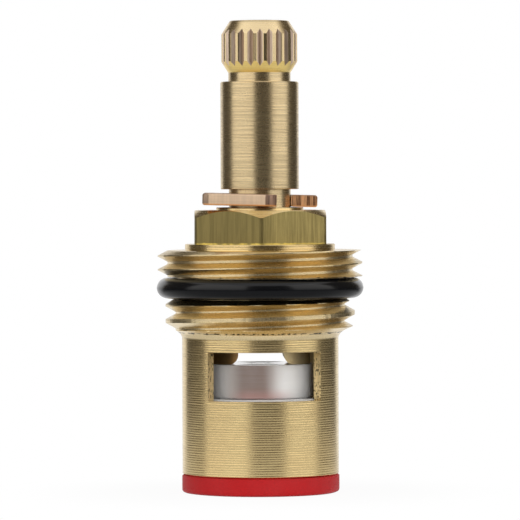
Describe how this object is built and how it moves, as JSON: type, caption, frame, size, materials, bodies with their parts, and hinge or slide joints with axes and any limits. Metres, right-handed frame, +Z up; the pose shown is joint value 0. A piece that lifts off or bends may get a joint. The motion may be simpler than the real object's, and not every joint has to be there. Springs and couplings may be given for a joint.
{
  "type": "ceramic disc tap cartridge",
  "caption": "Quarter-turn ceramic disc cartridge for a tap, with a splined spindle, two outside threads, side windows and a red seat seal.",
  "frame": {"origin": "middle of the red seal's lower face, the face that presses on the tap's seat", "axes": "+Z up the spindle's axis towards the splines; the two windows face -Y (front) and +Y (back); two of the hexagon's flats face +X and -X"},
  "size_m": [0.0228, 0.0228, 0.0518],
  "materials": {
    "body_brass": "fine turned brass, bare",
    "spindle_brass": "fine turned brass, slightly redder",
    "clip_copper": "pressed copper alloy",
    "black_rubber": "moulded, slightly glossy",
    "red_rubber": "moulded, matt",
    "white_ceramic": "lapped alumina",
    "white_acetal": "moulded",
    "ring_steel": "turned stainless steel"
  },
  "bodies": {
    "cartridge_body": {"valve_body": "body_brass", "thrust_washer": "white_acetal", "lower_ceramic_disc": "white_ceramic", "seat_seal": "red_rubber", "seal_backing_ring": "ring_steel", "body_o_ring": "black_rubber"},
    "turning_group": {"spindle": "spindle_brass", "retaining_clip": "clip_copper", "upper_ceramic_disc": "white_ceramic", "spindle_o_ring_lower": "black_rubber", "spindle_o_ring_upper": "black_rubber"}
  },
  "joints": [
    {"name": "spindle_turn", "type": "hinge", "parent": "cartridge_body", "child": "turning_group", "pos_m": [0, 0, 0], "axis": [0, 0, 1], "range_deg": [-90, 0]}
  ]
}
